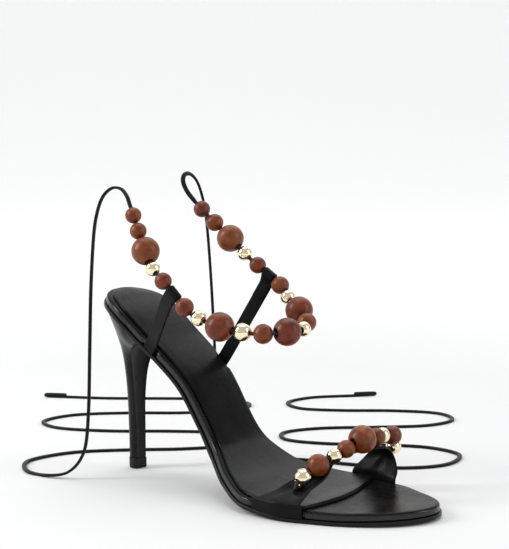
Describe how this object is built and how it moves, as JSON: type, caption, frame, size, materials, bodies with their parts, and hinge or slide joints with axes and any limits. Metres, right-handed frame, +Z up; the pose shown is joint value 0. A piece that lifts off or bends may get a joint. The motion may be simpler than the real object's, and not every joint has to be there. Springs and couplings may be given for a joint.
{
  "type": "lace-up high-heeled sandal",
  "caption": "Right-foot black leather stiletto sandal with strands of wood and gold beads over the toes and round the ankle, its long ties lying loose on the floor.",
  "frame": {"origin": "centre of the bottom face of the heel tip, on the floor", "axes": "+X towards the toe, +Y towards the inner side of the foot, +Z up"},
  "size_m": [0.3937, 0.3071, 0.1643],
  "materials": {
    "footbed_cover": "smooth black leather, satin",
    "sock": "padded charcoal-black leather sock, satin",
    "outsole": "black sole leather with a polished edge",
    "heel_cover": "black leather cover, satin",
    "heel_tip": "hard black rubber, matte",
    "strap_leather": "soft black leather, satin",
    "tie_leather": "black leather lace with pressed edges",
    "cord": "black waxed cord",
    "wood_bead": "turned reddish-brown wood, satin varnish",
    "gold_bead": "polished pale gold plate"
  },
  "bodies": {
    "root": {"outsole": "outsole", "footbed": "footbed_cover", "sock": "sock", "heel": "heel_cover", "heel_tip": "heel_tip", "toe_strap": "strap_leather", "ankle_strap_outer": "strap_leather", "ankle_strap_inner": "strap_leather", "ankle_strand_cord": "cord", "toe_strand_cord": "cord", "tie_outer": "tie_leather", "tie_outer_tip": "tie_leather", "tie_inner": "tie_leather", "tie_inner_tip": "tie_leather", "ankle_strand_bead_01": "wood_bead", "ankle_strand_bead_02": "wood_bead", "ankle_strand_bead_03": "wood_bead", "ankle_strand_bead_05": "wood_bead", "ankle_strand_bead_06": "wood_bead", "ankle_strand_bead_08": "wood_bead", "ankle_strand_bead_10": "wood_bead", "ankle_strand_bead_11": "wood_bead", "ankle_strand_bead_13": "wood_bead", "ankle_strand_bead_14": "wood_bead", "ankle_strand_bead_16": "wood_bead", "ankle_strand_bead_17": "wood_bead", "ankle_strand_bead_19": "wood_bead", "ankle_strand_bead_20": "wood_bead", "ankle_strand_bead_21": "wood_bead", "toe_strand_bead_02": "wood_bead", "toe_strand_bead_04": "wood_bead", "toe_strand_bead_05": "wood_bead", "toe_strand_bead_06": "wood_bead", "toe_strand_bead_08": "wood_bead", "ankle_strand_bead_04": "gold_bead", "ankle_strand_bead_07": "gold_bead", "ankle_strand_bead_09": "gold_bead", "ankle_strand_bead_12": "gold_bead", "ankle_strand_bead_15": "gold_bead", "ankle_strand_bead_18": "gold_bead", "toe_strand_bead_01": "gold_bead", "toe_strand_bead_03": "gold_bead", "toe_strand_bead_07": "gold_bead", "toe_strand_bead_09": "gold_bead"}
  },
  "joints": []
}
